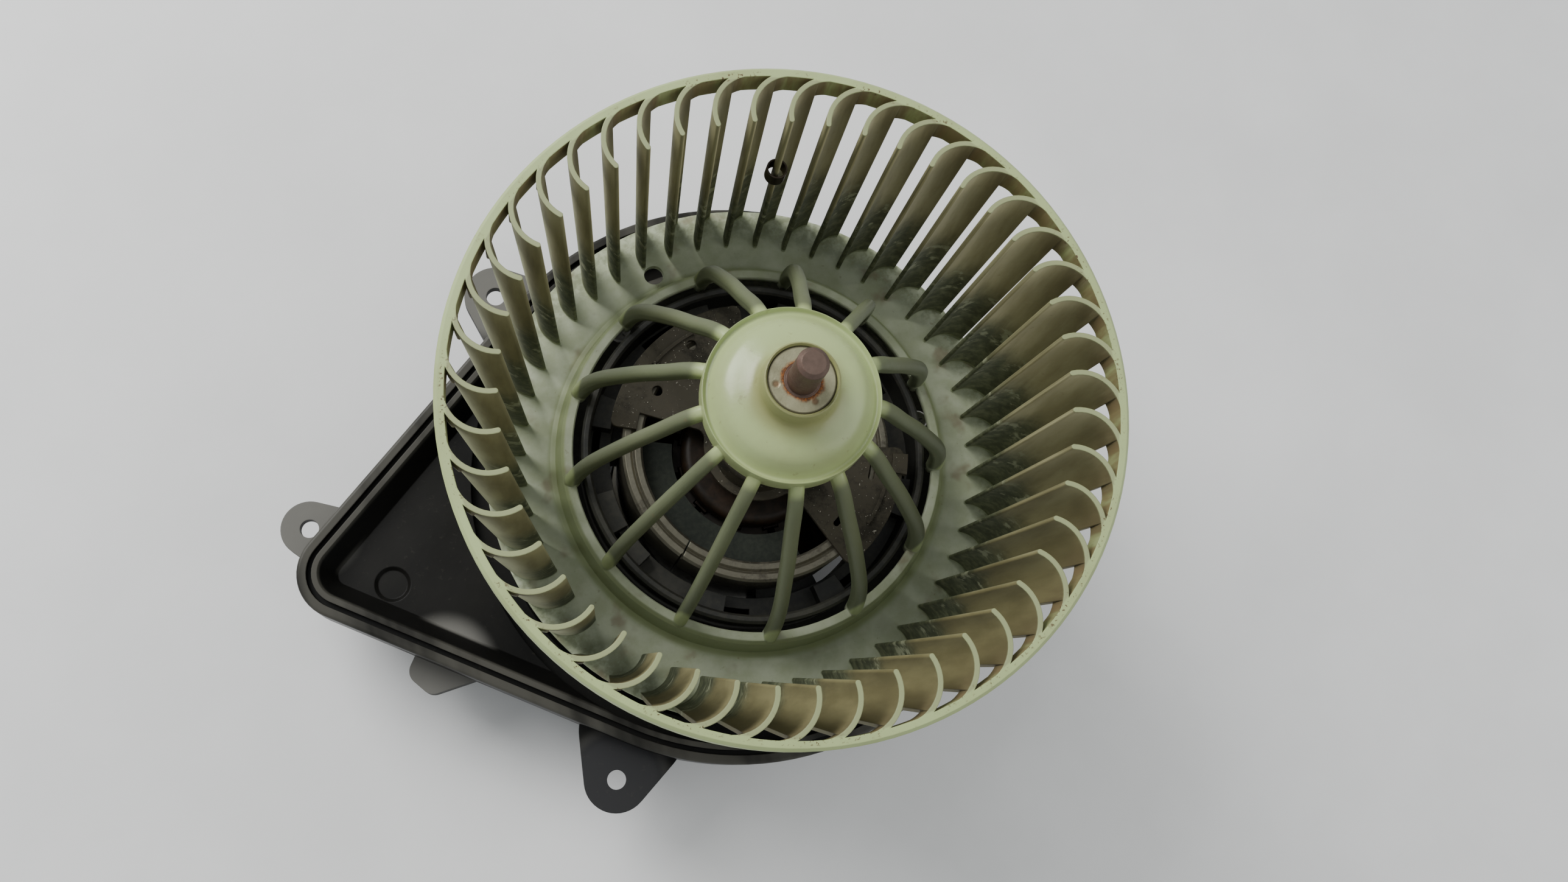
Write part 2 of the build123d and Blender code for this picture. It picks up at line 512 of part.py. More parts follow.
GROOVE_OUT, GROOVE_IN, BEAD_IN = 2.6, 4.0, 5.5
TRAY_SLOPE, SKIRT_T = 34.0, 2.6
TAB_OUTLINE = ((-99.6, -30.6, 4.0), (-97.6, -34.2, 3.6), (-86.0, -33.0, 4.0), (-92.0, -24.0, 6.0))
TAB_FOOT = 21.0
EAR_REACH = {"point": (-108.0, 5.0, 11.0), "lower": (-47.6, -62.0, 15.0),
             "upper": (-47.6, 60.0, 14.0), "far": (76.0, 0.0, 13.0)}
with BuildPart() as mounting_plate:
    with BuildSketch(Plane.XY.offset(PLATE_FOOT)):
        teardrop(0)
    extrude(amount=PLATE_TOP - PLATE_FOOT)
    fillet(mounting_plate.edges().group_by(Axis.Z)[-1], 0.9)
    for name, (centre, ear_r, hole_r) in EARS.items():
        root_x, root_y, root_r = EAR_REACH[name]
        with BuildSketch(Plane.XY.offset(EAR_FOOT)):
            with Locations(centre):
                Circle(ear_r)
            with Locations((root_x, root_y)):
                Circle(root_r)
            make_hull()
        extrude(amount=EAR_T)
    with BuildSketch(Plane.XY.offset(TAB_FOOT)):
        for x, y, radius in TAB_OUTLINE:
            with Locations((x, y)):
                Circle(radius)
        make_hull()
    extrude(amount=PLATE_FOOT + 1.0 - TAB_FOOT)
    # Sloped recess of the point and round well under the wheel.
    with BuildSketch(Plane(origin=(0, 0, PLATE_TOP), x_dir=(1, 0, 0), z_dir=(0, 0, 1))):
        teardrop(BEAD_IN)
    extrude(amount=-(PLATE_TOP - TRAY_FLOOR), taper=TRAY_SLOPE, mode=Mode.SUBTRACT)
    disc(WELL_R, WELL_FLOOR, PLATE_TOP, mode=Mode.SUBTRACT)
    # Groove between the outer rim and the inner bead.
    with BuildSketch(Plane.XY.offset(PLATE_TOP - 2.4)):
        teardrop(GROOVE_OUT)
        teardrop(GROOVE_IN, mode=Mode.SUBTRACT)
    extrude(amount=2.4, mode=Mode.SUBTRACT)
    # Hollow under the point, leaving a skirt and an even wall.
    with BuildSketch(Plane.XY.offset(PLATE_FOOT)):
        teardrop(SKIRT_T)
        Circle(ROUND_R - SKIRT_T + 0.1, mode=Mode.SUBTRACT)
    extrude(amount=TRAY_FLOOR - FLOOR_T - PLATE_FOOT, mode=Mode.SUBTRACT)
    # Cone that rises under the wheel's disc and carries the motor holder.
    disc(CONE_FOOT_R - 1.6, PLATE_FOOT, PLATE_TOP, mode=Mode.SUBTRACT)
    turned((
        (CONE_FOOT_R + 0.6, PLATE_FOOT + 0.2), (CONE_FOOT_R + 0.6, WELL_FLOOR), (CONE_TOP_R, CONE_TOP),
        (HOLDER_BORE_R, CONE_TOP), (HOLDER_BORE_R, CONE_TOP - FLOOR_T),
        (CONE_TOP_R - 1.4, CONE_TOP - FLOOR_T),
        (CONE_FOOT_R - 2.2, PLATE_FOOT + 0.2),
    ))
    # Round dimple in the recess's floor.
    with BuildSketch(Plane.XZ.offset(5.5)):
        with BuildLine():
            Polyline((-102.2, TRAY_FLOOR - 1.0), (-98.2, TRAY_FLOOR - 1.0), (-96.2, TRAY_FLOOR + 1.0),
                     (-102.2, TRAY_FLOOR + 1.0), close=True)
        make_face()
    revolve(axis=Axis((-102.2, -5.5, 0), (0, 0, 1)), mode=Mode.SUBTRACT)
    for centre, ear_r, hole_r in EARS.values():
        with BuildSketch(Plane.XY.offset(EAR_FOOT)):
            with Locations(centre):
                Circle(hole_r)
        extrude(amount=EAR_T, mode=Mode.SUBTRACT)
    with BuildSketch(Plane.XY.offset(CONE_TOP - FLOOR_T)):
        with PolarLocations(HOLDER_SCREW_R, 3):
            Circle(1.6)
    extrude(amount=FLOOR_T, mode=Mode.SUBTRACT)

# ---- motor holder and its rubber mounts ------------------------------------------------------
FLANGE_OUT_R, FLANGE_T = 54.0, 2.4
WINDOW_COUNT, WINDOW_FIRST_AZ, WINDOW_SPAN, WINDOW_IN, WINDOW_OUT = 8, 20.5, 17.0, 41.6, 43.6
BLOCKS = (                     # middle azimuth and span of the blocks on the ledge
    (60.0, 11.0), (96.0, 9.0), (150.0, 12.0), (188.0, 15.0),
    (206.0, 8.0), (238.0, 12.0), (284.0, 10.0), (330.0, 14.0),
)
with BuildPart() as motor_holder:
    turned((
        (HOLDER_R - HOLDER_WALL, HOLDER_FOOT), (HOLDER_R, HOLDER_FOOT), (HOLDER_R, HOLDER_TOP - 0.8),
        (HOLDER_R - 0.7, HOLDER_TOP), (HOLDER_R - HOLDER_WALL + 0.6, HOLDER_TOP),
        (HOLDER_R - HOLDER_WALL, HOLDER_TOP - 0.7),
    ))
    ring(HOLDER_R - 0.6, FLANGE_OUT_R, CONE_TOP, CONE_TOP + FLANGE_T)
    ring(GRIP_IN_R, HOLDER_R - 1.0, SHELF_FOOT, SHELF_TOP)
    ring(GRIP_IN_R, GRIP_OUT_R, HOLDER_FOOT, SHELF_FOOT + 0.5)
    ring(GRIP_IN_R, HOLDER_R - 1.0, HOLDER_FOOT, HOLDER_FOOT + 2.4)
    with BuildSketch(Plane.XY.offset(SHELF_FOOT)):
        for index in range(WINDOW_COUNT):
            sector(WINDOW_IN, WINDOW_OUT, WINDOW_FIRST_AZ + index * 360 / WINDOW_COUNT, WINDOW_SPAN)
    extrude(amount=SHELF_TOP - SHELF_FOOT, mode=Mode.SUBTRACT)
    for middle, span in BLOCKS:
        sector_block(GRIP_IN_R + 0.6, HOLDER_R - 1.0, middle, span, SHELF_TOP - 0.4, SHELF_TOP + 5.0)
    with BuildSketch(Plane.XY.offset(CONE_TOP)):
        with PolarLocations(HOLDER_SCREW_R, 3):
            Circle(1.6)
    extrude(amount=FLANGE_T, mode=Mode.SUBTRACT)

MOUNT_SPAN, MOUNT_FOOT, MOUNT_TOP = 26.0, 42.0, 61.0
with BuildPart() as rubber_mounts:
    for middle in (30.0, 150.0, 270.0):
        sector_block(CAN_R, GRIP_IN_R, middle, MOUNT_SPAN, MOUNT_FOOT, MOUNT_TOP)

HEAD_R, HEAD_H, SHANK_R, SHANK_FOOT = 2.8, 1.8, 1.5, 48.0
with BuildPart() as holder_screws:
    with BuildSketch(Plane.XY.offset(CONE_TOP + FLANGE_T)):
        with PolarLocations(HOLDER_SCREW_R, 3):
            Circle(HEAD_R)
    extrude(amount=HEAD_H)
    fillet(holder_screws.edges().group_by(Axis.Z)[-1], 0.7)
    with BuildSketch(Plane.XY.offset(CONE_TOP + FLANGE_T + HEAD_H)):
        with PolarLocations(HOLDER_SCREW_R, 3):
            Rectangle(2.6, 0.6)
            Rectangle(0.6, 2.6)
    extrude(amount=-0.9, mode=Mode.SUBTRACT)
    with BuildSketch(Plane.XY.offset(SHANK_FOOT)):
        with PolarLocations(HOLDER_SCREW_R, 3):
            Circle(SHANK_R)
    extrude(amount=CONE_TOP + FLANGE_T - SHANK_FOOT)

# ---- write one file per piece ----------------------------------------------------------------
PIECES = {
    "fan_wheel": fan_wheel, "hub_bush": hub_bush, "balance_clip": balance_clip, "motor_shaft": motor_shaft,
    "armature_core": armature_core, "armature_windings": armature_windings,
    "commutator_core": commutator_core, "commutator_bars": commutator_bars,
    "thrust_washers": thrust_washers, "thrust_collar": thrust_collar,
    "motor_can": motor_can, "magnets": magnets, "magnet_springs": magnet_springs, "end_plate": end_plate,
    "front_bearing": front_bearing, "rear_bearing": rear_bearing,
    "front_oil_felt": front_oil_felt, "rear_oil_felt": rear_oil_felt,
    "front_bearing_spring": front_bearing_spring, "rear_bearing_spring": rear_bearing_spring,
    "brush_card": brush_card, "brush_boxes": brush_boxes, "brush_a": brush_a, "brush_b": brush_b,
    "brush_spring_a": brush_spring_a, "brush_spring_b": brush_spring_b,
    "choke_cores": choke_cores, "choke_coils": choke_coils,
    "rear_cap": rear_cap, "terminals": terminals, "thrust_button": thrust_button,
    "mounting_plate": mounting_plate, "motor_holder": motor_holder, "rubber_mounts": rubber_mounts,
    "holder_screws": holder_screws,
}
for name, piece in PIECES.items():
    piece.part.label = name
    export_step(piece.part, f"parts/{name}.step")
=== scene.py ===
import json
import math

import bpy
from mathutils import Matrix, Vector


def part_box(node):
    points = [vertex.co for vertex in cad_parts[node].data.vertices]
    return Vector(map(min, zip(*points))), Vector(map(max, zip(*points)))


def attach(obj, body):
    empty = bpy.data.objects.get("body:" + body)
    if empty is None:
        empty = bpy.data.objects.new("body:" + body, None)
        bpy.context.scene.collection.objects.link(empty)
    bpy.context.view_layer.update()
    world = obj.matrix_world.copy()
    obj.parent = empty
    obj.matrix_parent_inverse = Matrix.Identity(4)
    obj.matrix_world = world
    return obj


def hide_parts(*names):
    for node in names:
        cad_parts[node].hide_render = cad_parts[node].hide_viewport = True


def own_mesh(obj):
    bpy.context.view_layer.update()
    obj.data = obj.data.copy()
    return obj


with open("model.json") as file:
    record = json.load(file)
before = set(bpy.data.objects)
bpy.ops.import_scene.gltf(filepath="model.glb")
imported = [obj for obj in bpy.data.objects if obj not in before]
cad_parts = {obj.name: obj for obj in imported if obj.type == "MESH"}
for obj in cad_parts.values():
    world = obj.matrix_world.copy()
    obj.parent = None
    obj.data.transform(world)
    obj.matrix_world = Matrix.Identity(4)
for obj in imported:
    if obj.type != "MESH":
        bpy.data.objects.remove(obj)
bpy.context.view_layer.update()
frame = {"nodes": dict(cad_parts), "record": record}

# Lengths are metres in the frame's own space. Colours are linear RGB.
BEVEL_SAMPLES = 4


# ---- node materials ----
class Finish:
    """A material under construction; its calls take sockets and plain numbers alike."""

    def __init__(self, name, rough=0.5, metal=0.0, spec=0.5, bevel=0.0003):
        self.mat = bpy.data.materials.new(name)
        self.mat.use_nodes = True
        self.tree = self.mat.node_tree
        self.shader = self.tree.nodes["Principled BSDF"]
        self.shader.inputs["Roughness"].default_value = rough
        self.shader.inputs["Metallic"].default_value = metal
        self.shader.inputs["Specular IOR Level"].default_value = spec
        self.place = self.node("ShaderNodeTexCoord").outputs["Object"]
        self.soft_edge = None
        if bevel:
            self.soft_edge = self.node("ShaderNodeBevel", {"Radius": bevel}, samples=BEVEL_SAMPLES).outputs[0]
            self.tree.links.new(self.soft_edge, self.shader.inputs["Normal"])

    def node(self, kind, inputs=None, **props):
        made = self.tree.nodes.new(kind)
        for key, value in props.items():
            setattr(made, key, value)
        for key, value in (inputs or {}).items():
            if isinstance(value, bpy.types.NodeSocket):
                self.tree.links.new(value, made.inputs[key])
            else:
                made.inputs[key].default_value = value
        return made

    def math(self, operation, first, second=0.0):
        return self.node("ShaderNodeMath", {0: first, 1: second}, operation=operation).outputs[0]

    def times(self, *values):
        total = values[0]
        for value in values[1:]:
            total = self.math("MULTIPLY", total, value)
        return total

    def band(self, value, low, high):
        """0 up to low and 1 from high on, smooth between; low may be the greater, for a falling ramp."""
        inputs = {"Value": value, "From Min": low, "From Max": high}
        return self.node("ShaderNodeMapRange", inputs, interpolation_type="SMOOTHSTEP").outputs[0]

    def spread(self, value, low, high):
        """Maps 0 to 1 onto low to high."""
        return self.node("ShaderNodeMapRange", {"Value": value, "To Min": low, "To Max": high}).outputs[0]

    def mix(self, factor, first, second):
        """first where factor is 0 and second where it is 1."""
        def full(color):
            return color if isinstance(color, bpy.types.NodeSocket) else (*color, 1.0)
        inputs = {0: factor, 6: full(first), 7: full(second)}
        return self.node("ShaderNodeMix", inputs, data_type="RGBA").outputs[2]

    def noise(self, scale, detail=3.0, rough=0.55, stretch=(1, 1, 1), offset=0.0):
        """Noise in the object's own space; scale is in features per metre."""
        inputs = {"Vector": self.place, "Scale": stretch, "Location": (offset,) * 3}
        moved = self.node("ShaderNodeMapping", inputs)
        inputs = {"Vector": moved.outputs[0], "Scale": scale, "Detail": detail, "Roughness": rough}
        return self.node("ShaderNodeTexNoise", inputs).outputs[0]

    def axes(self, vector):
        return self.node("ShaderNodeSeparateXYZ", {0: vector}).outputs

    def radius(self):
        """Distance from the fan's axis."""
        x, y, _ = self.axes(self.place)
        return self.math("SQRT", self.math("ADD", self.times(x, x), self.times(y, y)))

    def normal(self):
        """The surface's normal in the object's own space."""
        world = self.node("ShaderNodeNewGeometry").outputs["Normal"]
        turned = self.node("ShaderNodeVectorTransform", {0: world}, vector_type="NORMAL",
                           convert_from="WORLD", convert_to="OBJECT")
        return turned.outputs[0]

    def near(self, centre, inner, outer):
        """1 within inner of a point and 0 beyond outer."""
        apart = self.node("ShaderNodeVectorMath", {0: self.place, 1: centre}, operation="DISTANCE")
        return self.band(apart.outputs["Value"], outer, inner)

    def color(self, value):
        self.tree.links.new(value, self.shader.inputs["Base Color"])

    def rough(self, value):
        self.tree.links.new(value, self.shader.inputs["Roughness"])

    def metal(self, value):
        self.tree.links.new(value, self.shader.inputs["Metallic"])

    def bump(self, height, distance, strength=1.0):
        inputs = {"Height": height, "Distance": distance, "Strength": strength}
        if self.soft_edge:
            inputs["Normal"] = self.soft_edge
        made = self.node("ShaderNodeBump", inputs)
        self.tree.links.new(made.outputs[0], self.shader.inputs["Normal"])


# Zones of the fan wheel: ramps for Finish.band on the distance from the axis, then ramps on the height.
WHEEL_ZONES = {
    "blades": ([(0.0603, 0.0612), (0.0779, 0.0774)], [(0.0646, 0.0656), (0.13493, 0.13485)]),
    "blade_tops": ([(0.0603, 0.0612), (0.0776, 0.0771)], [(0.1343, 0.1349)]),
    "blade_feet": ([], [(0.076, 0.083), (0.098, 0.090)]),
    "under_rim": ([(0.0735, 0.0775)], [(0.122, 0.129)]),
    "rim_wall": ([(0.0768, 0.0774)], [(0.1275, 0.129), (0.1352, 0.1345)]),
    "rim_edge": ([(0.0760, 0.0775), (0.0792, 0.0783)], [(0.1335, 0.1346)]),
    "disc": ([(0.0470, 0.0480)], [(0.0750, 0.0735)]),
    "shaded_collar_slope": ([(0.0560, 0.0538), (0.0505, 0.0514)], []),
    "spokes": ([(0.0213, 0.0245), (0.0500, 0.0490)], [(0.1310, 0.1270)]),
    "hub": ([(0.0240, 0.0215)], [(0.1240, 0.1265)]),
    "boss": ([(0.0140, 0.0088)], [(0.1352, 0.1375)]),
}
SOOT_AND_SHADE_Z = (0.118, 0.068)             # soot and painted shade grow down the blades over these heights
DISC_MOULD_R = (0.0600, 0.0690)     # mould grows outwards over the disc
HOLLOW_DIRT_AND_SHADE_R = (0.0685, 0.0772)    # and dirt with painted shade towards the outer end of a blade's hollow face, in its corner by the rim
DUST_AND_SHADE_SIDE_Y = (-0.006, -0.060)     # the side of the wheel with darker blade hollows: heavier dust, and painted shade
BROWN_DIRT = (0.10, 0.065, 0.03)
WHEEL_TONES = {                     # pairs run from the first to the second with a noise
    "moulding": ((0.370, 0.445, 0.200), (0.315, 0.362, 0.160)),
    "spokes": ((0.080, 0.098, 0.052), (0.118, 0.128, 0.074)),
    "disc": ((0.46, 0.50, 0.36), (0.37, 0.41, 0.26)),
    "dusty_hollow": ((0.47, 0.44, 0.255), (0.33, 0.30, 0.155)),
    "heavy_dust_and_shade": ((0.235, 0.212, 0.098), (0.150, 0.132, 0.056)),
    "blade_back": ((0.25, 0.24, 0.125), (0.150, 0.138, 0.066)),
    "blade_outside": ((0.38, 0.40, 0.225), (0.30, 0.31, 0.165)),
    # the next pair colours the soot: dark mould green, with painted shade down the blades
    "mould": ((0.052, 0.066, 0.033), (0.165, 0.185, 0.104)),
    "disc_mould": (0.13, 0.15, 0.07),
    "disc_stain": (0.22, 0.18, 0.11),
    "shaded_collar_slope": (0.22, 0.265, 0.105),
    "hollow_dirt_and_shade": (0.105, 0.088, 0.040),
    "pale_painted_glow": (0.40, 0.42, 0.27),
    "blade_tops": (0.23, 0.24, 0.125),
    "rim_wall_dirt": (0.19, 0.14, 0.065),
    "dirt_specks": (0.16, 0.125, 0.06),
    "boss": (0.235, 0.225, 0.085),
}


def fan_plastic():
    """Pale green moulding, a little shiny on the hub, with brown dust, dark grime and painted shade on its
    blades, pale blotches of painted light at their feet, and painted shade on its boss and on the slope up to
    its collar.
    """
    f = Finish("fan_plastic", bevel=0.00035)
    x, y, z = f.axes(f.place)
    nx, ny, _ = f.axes(f.normal())
    r = f.radius()
    tones = WHEEL_TONES

    def zone(name):
        on_radius, on_height = WHEEL_ZONES[name]
        return f.times(*[f.band(r, *ramp) for ramp in on_radius], *[f.band(z, *ramp) for ramp in on_height])

    around = f.math("DIVIDE", f.math("SUBTRACT", f.times(ny, x), f.times(nx, y)), r)
    outward = f.math("DIVIDE", f.math("ADD", f.times(nx, x), f.times(ny, y)), r)
    hollow_face = f.band(around, 0.15, -0.5)
    inside = f.band(outward, 0.2, -0.7)
    outside = f.band(outward, 0.15, 0.75)
    cloud = f.noise(38, 4, 0.6)
    grain = f.noise(420, 4, 0.65)
    streak = f.noise(170, 4, 0.6, stretch=(1, 1, 0.16))
    streaky = f.band(streak, 0.3, 0.7)
    speck = f.noise(1500, 2, 0.5)
    mottle = f.noise(330, 5, 0.65)
    in_blades = zone("blades")

    color = f.mix(f.band(cloud, 0.35, 0.75), *tones["moulding"])
    color = f.mix(f.times(zone("spokes"), 0.92), color, f.mix(cloud, *tones["spokes"]))

    # the disc, with mould towards its edge, stains, and painted shade in a deeper green on the slope up to
    # its collar
    disc = f.mix(streaky, *tones["disc"])
    disc_mould = f.times(f.band(r, *DISC_MOULD_R), f.band(mottle, 0.35, 0.62), 0.6)
    disc = f.mix(disc_mould, disc, tones["disc_mould"])
    stains = f.times(f.band(f.noise(95, 3, 0.5), 0.56, 0.70), 0.7)
    disc = f.mix(stains, disc, tones["disc_stain"])
    # painted shade on the slope up to the collar, in a deeper green
    disc = f.mix(f.times(zone("shaded_collar_slope"), 0.8), disc, tones["shaded_collar_slope"])
    color = f.mix(f.times(zone("disc"), f.band(in_blades, 1, 0)), color, disc)

    # the blades: dusty hollow faces, cleaner outsides, soot and painted shade that thicken downwards, and
    # dirt in the corners, with painted shade in the hollows' corners by the rim
    # on the -Y side the hollow faces turn darker: heavier dust, and painted shade
    hollow = f.mix(f.band(y, *DUST_AND_SHADE_SIDE_Y), f.mix(streaky, *tones["dusty_hollow"]),
                   f.mix(streaky, *tones["heavy_dust_and_shade"]))
    back = f.mix(f.band(streak, 0.3, 0.72), *tones["blade_back"])
    blades = f.mix(hollow_face, back, hollow)
    blades = f.mix(f.times(outside, 0.65), blades, f.mix(streaky, *tones["blade_outside"]))
    # soot and painted shade, darker towards the blade feet
    soot_and_shade = f.band(f.math("ADD", f.times(f.band(z, *SOOT_AND_SHADE_Z), 0.95), f.times(streak, 0.55)), 0.44, 0.96)
    soot_and_shade = f.times(soot_and_shade, f.math("SUBTRACT", 0.92, f.times(outside, 0.68)))
    blades = f.mix(soot_and_shade, blades, f.mix(f.band(mottle, 0.38, 0.70), *tones["mould"]))
    crevice = f.times(zone("under_rim"), f.band(streak, 0.3, 0.55), 0.8)
    blades = f.mix(crevice, blades, BROWN_DIRT)
    # dirt and painted shade in the corner of each hollow face by the rim
    hollow_dirt_and_shade = f.times(f.band(r, *HOLLOW_DIRT_AND_SHADE_R), f.spread(streak, 0.45, 0.95), hollow_face)
    blades = f.mix(hollow_dirt_and_shade, blades, tones["hollow_dirt_and_shade"])
    # pale blotches at the blade feet: painted light showing through the plastic
    painted_glow = f.times(zone("blade_feet"), f.band(f.noise(230, 4, 0.6), 0.55, 0.64), 0.75)
    painted_glow = f.times(painted_glow, f.math("SUBTRACT", 1.0, f.times(outside, 0.8)))
    blades = f.mix(painted_glow, blades, tones["pale_painted_glow"])
    color = f.mix(in_blades, color, blades)
    color = f.mix(f.times(zone("blade_tops"), 0.7), color, tones["blade_tops"])

    # the rim's inner wall and edge, fine specks all over, and painted shade in a darker yellow on the boss
    rim_wall = f.times(inside, zone("rim_wall"), f.band(streak, 0.36, 0.58), 0.85)
    color = f.mix(rim_wall, color, tones["rim_wall_dirt"])
    rim_edge = f.times(zone("rim_edge"), f.band(speck, 0.60, 0.66), f.band(cloud, 0.40, 0.55))
    color = f.mix(rim_edge, color, BROWN_DIRT)
    color = f.mix(f.times(f.band(grain, 0.64, 0.72), 0.35), color, tones["dirt_specks"])
    # painted shade on the boss, in a darker yellow
    color = f.mix(f.times(zone("boss"), f.band(cloud, 0.25, 0.5), 0.75), color, tones["boss"])
    f.color(color)

    gloss = f.times(f.spread(cloud, 0.40, 0.58), f.math("SUBTRACT", 1.0, f.times(zone("hub"), 0.42)))
    f.rough(f.math("ADD", gloss, f.times(in_blades, 0.18)))
    f.bump(f.math("ADD", f.times(grain, 0.6), f.times(streak, 0.6)), 0.00012, 0.5)
    return f.mat


LOWER_EAR = (-0.0553, -0.0742)      # the ear at the bottom of the photo, which is blacker than the others
EARS_AND_TAB = ((-0.1207, 0.0154), LOWER_EAR, (-0.0553, 0.0706), (0.0912, 0.0), (-0.094, -0.0315))
EAR_MID_Z = 0.0300
EAR_TOP_Z = (0.0345, 0.0332)
SCUFFED_R = (0.0105, 0.0165)
BLACK_EAR_R = (0.0120, 0.0170)
PLATE_RIM_Z = (0.0388, 0.0398)


def plate_plastic():
    """Black moulding with a soft gloss, dusty on top and lighter along its rim with dust and a painted
    highlight; its ears are scuffed grey.
    """
    f = Finish("plate_plastic", spec=0.16, bevel=0.0004)
    cloud = f.noise(26, 4, 0.6)
    fine = f.noise(650, 4, 0.6)
    sweep = f.noise(60, 3, 0.6, stretch=(1, 0.25, 1))
    _, _, z = f.axes(f.place)
    _, _, nz = f.axes(f.normal())
    ears = 0.0
    for centre in EARS_AND_TAB:
        ears = f.math("MAXIMUM", ears, f.near((*centre, EAR_MID_Z), *SCUFFED_R))
    ears = f.times(ears, f.band(z, *EAR_TOP_Z))
    color = f.mix(f.band(cloud, 0.3, 0.75), (0.0032, 0.0032, 0.0030), (0.0065, 0.0062, 0.0055))
    scuffed = f.mix(cloud, (0.105, 0.104, 0.098), (0.185, 0.178, 0.155))
    scuffed = f.mix(f.near((*LOWER_EAR, EAR_MID_Z), *BLACK_EAR_R), scuffed, (0.026, 0.026, 0.027))
    color = f.mix(f.times(ears, f.band(nz, -0.2, 0.6)), color, scuffed)
    settled = f.band(f.noise(14, 3, 0.5, offset=0.6), 0.40, 0.70)
    dust = f.math("ADD", f.times(settled, 0.07), f.times(f.band(fine, 0.60, 0.72), 0.08))
    color = f.mix(f.times(f.band(nz, 0.3, 0.95), dust), color, (0.10, 0.092, 0.07))
    # lighter band along the rim's top: dust and a painted highlight
    rim_dust_and_highlight = f.times(f.band(z, *PLATE_RIM_Z), f.band(sweep, 0.30, 0.62), 0.8)
    color = f.mix(rim_dust_and_highlight, color, (0.075, 0.072, 0.060))
    f.color(color)
    f.rough(f.math("ADD", f.spread(f.band(cloud, 0.25, 0.8), 0.30, 0.44), f.times(ears, 0.25)))
    f.bump(f.math("ADD", f.times(fine, 0.35), f.times(sweep, 0.8)), 0.00010, 0.5)
    return f.mat


def black_plastic(name, tone, dust, rough):
    """Dark moulding; dust is how much of it settles on faces that look up."""
    f = Finish(name)
    cloud = f.noise(45, 4, 0.6)
    fine = f.noise(700, 4, 0.6)
    _, _, nz = f.axes(f.normal())
    color = f.mix(f.band(cloud, 0.3, 0.7), [t * 0.75 for t in tone], [t * 1.35 for t in tone])
    patches = f.band(f.math("ADD", f.times(cloud, 0.7), f.times(fine, 0.4)), 0.4, 0.75)
    f.color(f.mix(f.times(f.band(nz, 0.2, 0.95), patches, dust), color, (0.085, 0.080, 0.055)))
    f.rough(f.spread(cloud, rough - 0.08, rough + 0.14))
    f.bump(fine, 0.00008, 0.5)
    return f.mat


def worn_metal(name, tone, rust, rust_share, rough, metal=1.0, speck=0.0):
    """Metal with blotches of rust or dirt, a fine grain and bright specks."""
    f = Finish(name)
    cloud = f.noise(90, 5, 0.65)
    brush = f.noise(900, 3, 0.6)
    pits = f.noise(1400, 3, 0.6)
    color = f.mix(f.spread(brush, 0.0, 1.0), [t * 0.8 for t in tone], [min(1.0, t * 1.15) for t in tone])
    blotches = f.math("ADD", f.times(cloud, 0.8), f.times(pits, 0.2))
    dirt = f.band(blotches, 0.72 - rust_share * 0.45, 0.82 - rust_share * 0.35)
    color = f.mix(dirt, color, rust)
    if speck:
        color = f.mix(f.times(f.band(pits, 0.66, 0.72), speck), color, (0.55, 0.52, 0.42))
    f.color(color)
    f.metal(f.times(f.math("SUBTRACT", 1.0, f.times(dirt, 0.8)), metal))
    f.rough(f.math("ADD", f.spread(brush, rough - 0.06, rough + 0.08), f.times(dirt, 0.2)))
    f.bump(f.math("ADD", f.times(brush, 0.5), f.times(pits, 0.5)), 0.00006, 0.6)
    return f.mat


BUSH_TOP_Z = 0.1446
BUSH_LINE_R = (0.00725, 0.00750)    # the dark circle near its edge
BUSH_RUST_R = (0.0042, 0.0032)
PUNCH_R = (0.0004, 0.0011)
PUNCH_MARKS = ((0.0060, 176), (0.0055, 284), (0.0058, 20))   # distance from the axis, and azimuth in degrees


def bush_zinc():
    """Dull zinc face with a thin dark circle, three punch marks and rust crept out from the shaft."""
    f = Finish("bush_zinc", metal=0.45)
    cloud = f.noise(300, 4, 0.6)
    fine = f.noise(2200, 4, 0.6)
    r = f.radius()
    color = f.mix(f.band(cloud, 0.3, 0.7), (0.34, 0.325, 0.205), (0.25, 0.238, 0.145))
    color = f.mix(f.times(f.band(r, *BUSH_LINE_R), 0.8), color, (0.085, 0.075, 0.045))
    marks = 0.0
    for reach, azimuth in PUNCH_MARKS:
        turn = math.radians(azimuth)
        spot = f.near((reach * math.cos(turn), reach * math.sin(turn), BUSH_TOP_Z), *PUNCH_R)
        marks = f.math("MAXIMUM", marks, spot)
    color = f.mix(f.times(marks, 0.75), color, (0.17, 0.085, 0.035))
    rust = f.band(f.math("ADD", r, f.times(cloud, -0.0024)), *BUSH_RUST_R)
    color = f.mix(rust, color, f.mix(f.band(fine, 0.4, 0.6), (0.30, 0.11, 0.025), (0.13, 0.055, 0.025)))
    f.color(color)
    f.rough(f.math("ADD", f.spread(cloud, 0.36, 0.52), f.times(rust, 0.3)))
    f.bump(f.math("SUBTRACT", fine, f.times(marks, 3.0)), 0.00010, 0.6)
    return f.mat


def plain_stuff(name, dark, light, rough, scale, depth=0.0001, stretch=(1, 1, 1), metal=0.0, spec=0.5,
                bevel=0.0002):
    """Even material with a mottled tone and a grain; scale, stretch and depth are the grain's."""
    f = Finish(name, rough, metal, spec, bevel)
    cloud = f.noise(70, 4, 0.6)
    grain = f.noise(scale, 4, 0.6, stretch=stretch)
    tone = f.math("ADD", f.times(cloud, 0.5), f.times(grain, 0.5))
    f.color(f.mix(f.band(tone, 0.35, 0.65), dark, light))
    f.rough(f.spread(tone, rough - 0.1, rough + 0.1))
    f.bump(grain, depth, 0.6)
    return f.mat


CORE_PLATE_PITCH = 0.0007


